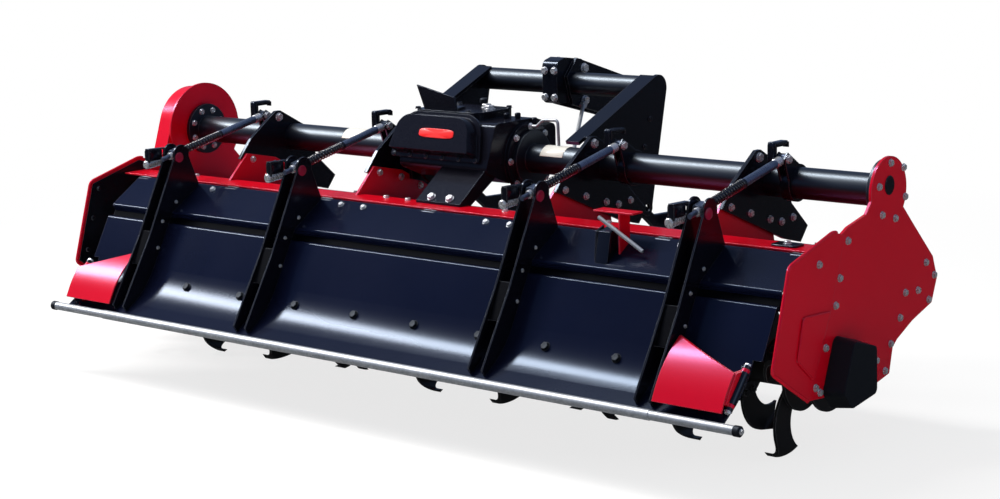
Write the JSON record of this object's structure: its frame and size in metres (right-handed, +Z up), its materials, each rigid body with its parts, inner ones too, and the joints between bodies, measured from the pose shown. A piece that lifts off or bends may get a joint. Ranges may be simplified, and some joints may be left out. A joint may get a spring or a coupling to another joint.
{
  "type": "rotary tiller",
  "caption": "Tractor-mounted rotary tiller: rotor of curved tines under a hood, side drive case, pipe frame with hitch mast, hinged levelling board with sprung rods and folding wings.",
  "frame": {"origin": "centre of the top-link bore, on the machine's centre plane", "axes": "+X to the machine's right, along the rotor; +Y the way it travels; +Z up"},
  "size_m": [3.029, 1.402, 1.0576],
  "materials": {
    "red_paint": "gloss",
    "black_paint": "semi gloss",
    "navy_paint": "gloss",
    "zinc": "galvanised",
    "spring_steel": "satin",
    "rod_steel": "zinc plated",
    "casting": "painted casting",
    "tine_steel": "satin",
    "bright_steel": "machined",
    "guard_plastic": "matt"
  },
  "bodies": {
    "frame": {"bearing_guard": "guard_plastic", "drive_case": "red_paint", "gearbox_case": "casting", "gearbox_cover": "casting", "gearbox_guard": "casting", "hinge_bar": "black_paint", "hood": "red_paint", "hood_gussets": "red_paint", "lower_hitch_left": "black_paint", "lower_hitch_right": "black_paint", "main_pipe_left": "black_paint", "main_pipe_right": "black_paint", "mast_plate_left": "black_paint", "mast_plate_right": "black_paint", "mast_tube": "black_paint", "rear_cover_left": "red_paint", "rear_cover_right": "red_paint", "rod_brackets": "black_paint", "side_plate_left": "red_paint", "side_plate_right": "red_paint", "stay_rod": "zinc", "top_link_bracket": "black_paint", "upright_inner_left": "black_paint", "upright_inner_right": "black_paint", "upright_outer_left": "black_paint", "upright_outer_right": "black_paint", "wire_loop": "zinc"},
    "rotor": {"rotor": "tine_steel"},
    "input": {"input_shaft": "bright_steel"},
    "board": {"arm_inner_left": "black_paint", "arm_inner_right": "black_paint", "arm_outer_left": "black_paint", "arm_outer_right": "black_paint", "board": "navy_paint", "board_tube": "zinc", "lever": "zinc", "lever_bracket": "red_paint", "lever_stand": "black_paint", "rear_panel": "navy_paint", "wing_hinge_left": "black_paint", "wing_hinge_right": "black_paint"},
    "rods": {"rod_inner_left": "rod_steel", "rod_inner_right": "rod_steel", "rod_outer_left": "rod_steel", "rod_outer_right": "rod_steel", "rod_springs": "spring_steel"},
    "wing_left": {"wing_left": "red_paint"},
    "wing_right": {"wing_right": "red_paint"}
  },
  "joints": [
    {"name": "rotor_spin", "type": "hinge", "parent": "frame", "child": "rotor", "pos_m": [0, -0.79, -0.633], "axis": [-1, 0, 0], "continuous": true},
    {"name": "input_spin", "type": "hinge", "parent": "frame", "child": "input", "pos_m": [-0.075, -0.325, -0.083], "axis": [0, 1, 0], "continuous": true},
    {"name": "board_swing", "type": "hinge", "parent": "frame", "child": "board", "pos_m": [0, -0.9473, -0.2632], "axis": [-1, 0, 0], "range_deg": [0, 30]},
    {"name": "rod_swing", "type": "hinge", "parent": "frame", "child": "rods", "pos_m": [0, -0.606, -0.05], "axis": [-1, 0, 0], "range_deg": [0, 1.5]},
    {"name": "wing_left_fold", "type": "hinge", "parent": "board", "child": "wing_left", "pos_m": [-1.362, -1.16906, -0.466], "axis": [0, -0.6704, -0.742], "range_deg": [0, 180]},
    {"name": "wing_right_fold", "type": "hinge", "parent": "board", "child": "wing_right", "pos_m": [1.362, -1.16906, -0.466], "axis": [0, 0.6704, 0.742], "range_deg": [0, 180]}
  ],
  "couplings": [
    {"joint": "input_spin", "follows": "rotor_spin", "ratio": 2.4},
    {"joint": "rod_swing", "follows": "board_swing", "ratio": 0.05}
  ]
}
